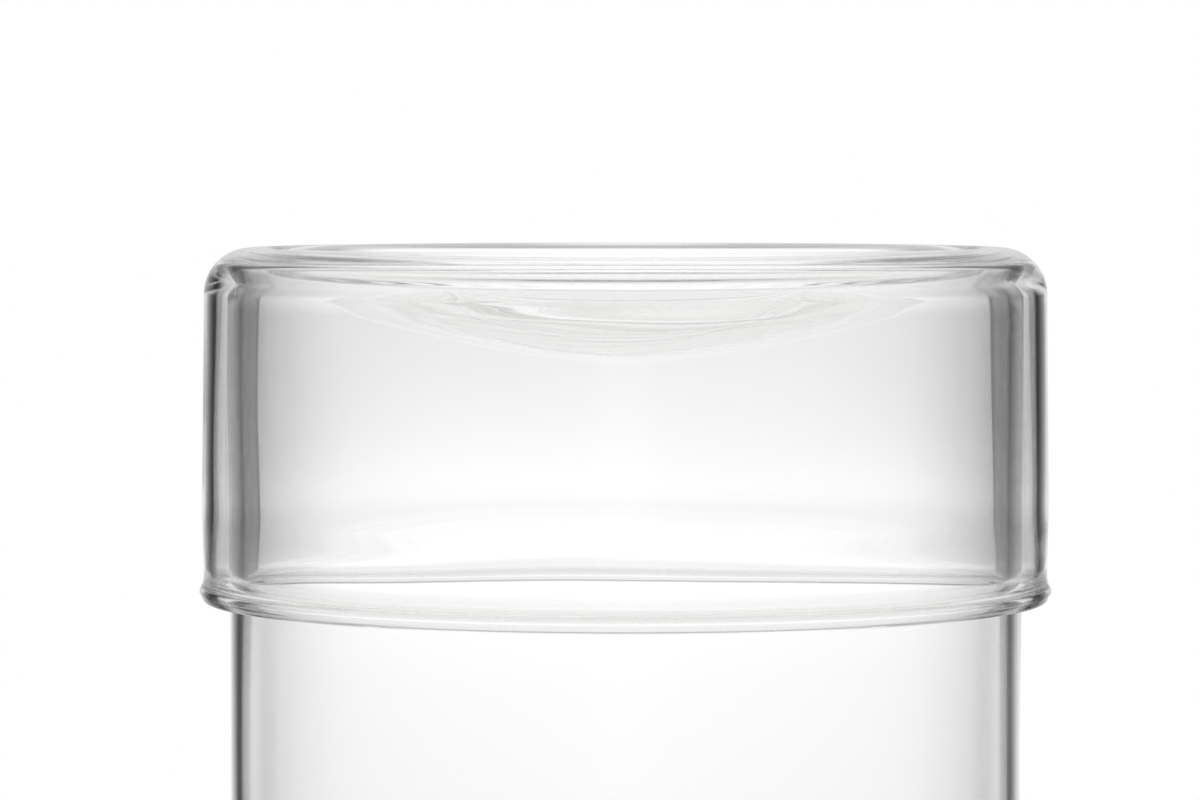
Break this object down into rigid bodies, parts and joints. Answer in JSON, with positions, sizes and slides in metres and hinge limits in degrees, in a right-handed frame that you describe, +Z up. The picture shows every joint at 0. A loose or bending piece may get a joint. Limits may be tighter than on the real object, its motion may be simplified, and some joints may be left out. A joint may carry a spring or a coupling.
{
  "type": "lidded glass canister",
  "caption": "Straight clear glass storage canister with a slip-over glass lid: rounded shoulder, sunken top and rolled lower rim.",
  "frame": {"origin": "middle of the foot, on the surface that the canister stands on", "axes": "+Z up along the axis of the jar, towards the lid; X and Y are free, because both pieces are round"},
  "size_m": [0.1072, 0.1072, 0.152],
  "materials": {
    "jar_glass": "clear borosilicate, drawn tube, fire-polished rim",
    "lid_glass": "clear borosilicate, lamp-worked, fire-polished bead"
  },
  "bodies": {
    "jar": {"canister_body": "jar_glass"},
    "lid": {"lid": "lid_glass"}
  },
  "joints": [
    {"name": "lid_lift", "type": "slide", "parent": "jar", "child": "lid", "axis": [0, 0, 1], "range_m": [0, 0.15]}
  ]
}
